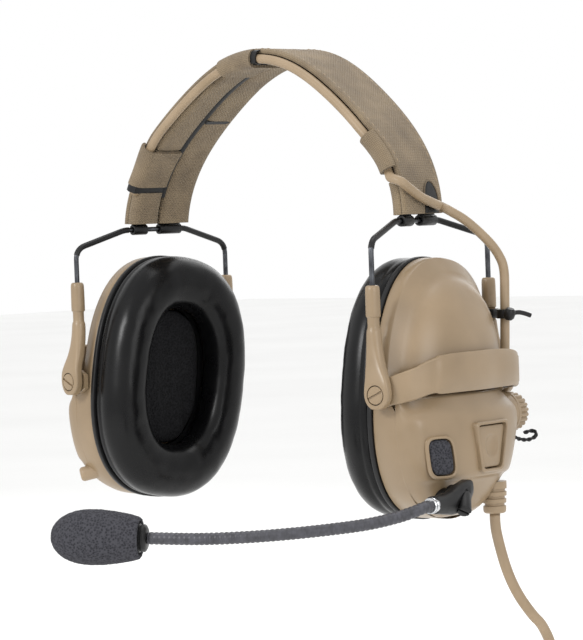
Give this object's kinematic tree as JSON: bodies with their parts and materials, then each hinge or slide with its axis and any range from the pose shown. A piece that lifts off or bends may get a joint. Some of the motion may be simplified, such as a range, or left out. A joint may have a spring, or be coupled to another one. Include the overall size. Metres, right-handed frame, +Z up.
{
  "type": "radio communications headset",
  "caption": "Over-ear radio headset with a padded headband, sliding and tilting ear cups, an electronics module with push button, a swinging boom microphone and a trailing lead.",
  "frame": {"origin": "underside of the headband's crown, on its middle, where it rests on the head", "axes": "+Z up; the wearer faces -Y; +X is the wearer's left, the side of the electronics and the boom"},
  "size_m": [0.234, 0.2361, 0.3452],
  "materials": {
    "tan_plastic": "moulded, satin",
    "tan_fabric": "woven, matt",
    "tan_rubber": "smooth, satin",
    "black_plastic": "satin",
    "black_leather": "soft synthetic leather, glossy",
    "grey_foam": "open foam, matt",
    "steel_wire": "dark polished steel",
    "board_green": "solder mask"
  },
  "bodies": {
    "headband": {"band_core": "black_plastic", "band_cover": "tan_fabric", "band_end_pad_left": "tan_fabric", "band_end_pad_right": "tan_fabric", "band_pad_left": "tan_fabric", "band_pad_rear": "tan_fabric", "band_pad_right": "tan_fabric", "crossover_cable": "tan_rubber", "crossover_tail": "tan_rubber", "loop_left": "tan_fabric", "loop_right": "tan_fabric", "loop_top": "tan_fabric", "wire_clip_left_front": "black_plastic", "wire_clip_left_rear": "black_plastic", "wire_clip_right_front": "black_plastic", "wire_clip_right_rear": "black_plastic", "yoke_wire_left": "steel_wire", "yoke_wire_right": "steel_wire"},
    "left_stems": {"pivot_screw_left_front": "tan_plastic", "pivot_screw_left_rear": "tan_plastic", "stem_left_front": "tan_plastic", "stem_left_rear": "tan_plastic"},
    "left_cup": {"left_back_plate": "black_plastic", "left_cushion": "black_leather", "left_driver": "black_plastic", "left_foam": "grey_foam", "left_module_cover": "tan_plastic", "left_port_plug": "tan_rubber", "left_shell": "tan_plastic", "left_strap": "tan_plastic"},
    "right_stems": {"pivot_screw_right_front": "tan_plastic", "pivot_screw_right_rear": "tan_plastic", "stem_right_front": "tan_plastic", "stem_right_rear": "tan_plastic", "cable_tie": "black_plastic"},
    "right_cup": {"right_back_plate": "black_plastic", "right_cushion": "black_leather", "right_driver": "black_plastic", "right_foam": "grey_foam", "right_module_cover": "tan_plastic", "right_shell": "tan_plastic", "right_strap": "tan_plastic", "ambient_mic_foam": "grey_foam", "battery_cell": "steel_wire", "battery_tube": "tan_plastic", "boom_mount": "black_plastic", "cap_tether": "black_plastic", "circuit_board": "board_green", "downlead": "tan_rubber", "downlead_hank": "tan_rubber", "hank_tie": "black_plastic", "plug": "black_plastic", "strain_relief": "tan_rubber"},
    "boom": {"boom_elbow": "black_plastic", "gooseneck": "black_plastic", "mic_collar": "black_plastic", "mic_windscreen": "grey_foam"},
    "thumb_screw": {"thumb_screw": "black_plastic"},
    "battery_cap": {"battery_cap": "tan_plastic"},
    "push_button": {"push_button": "tan_plastic"}
  },
  "joints": [
    {"name": "left_height", "type": "slide", "parent": "headband", "child": "left_stems", "axis": [0, 0, 1], "range_m": [-0.014, 0.008]},
    {"name": "right_height", "type": "slide", "parent": "headband", "child": "right_stems", "axis": [0, 0, 1], "range_m": [-0.012, 0.01], "deforming": ["crossover_tail"]},
    {"name": "left_tilt", "type": "hinge", "parent": "left_stems", "child": "left_cup", "pos_m": [-0.08428, -0.00516, -0.1364], "axis": [0.1132, 0.9936, 0], "range_deg": [-10, 10]},
    {"name": "right_tilt", "type": "hinge", "parent": "right_stems", "child": "right_cup", "pos_m": [0.09108, -0.00516, -0.1394], "axis": [-0.1132, 0.9936, 0], "range_deg": [-10, 7], "deforming": ["crossover_tail"]},
    {"name": "boom_swing", "type": "hinge", "parent": "right_cup", "child": "boom", "pos_m": [0.11096, -0.02504, -0.1824], "axis": [0.9936, 0.1132, 0], "range_deg": [-60, 18]},
    {"name": "clamp_turn", "type": "hinge", "parent": "boom", "child": "thumb_screw", "pos_m": [0.11919, -0.02571, -0.1813], "axis": [0.4884, -0.5695, -0.6612], "continuous": true},
    {"name": "battery_cap_turn", "type": "hinge", "parent": "right_cup", "child": "battery_cap", "pos_m": [0.09409, 0.03464, -0.1522], "axis": [-0.1132, 0.9936, 0], "continuous": true},
    {"name": "button_press", "type": "slide", "parent": "right_cup", "child": "push_button", "axis": [-0.9936, -0.1132, 0], "range_m": [0, 0.0012], "stiffness_N_per_m": 800}
  ]
}
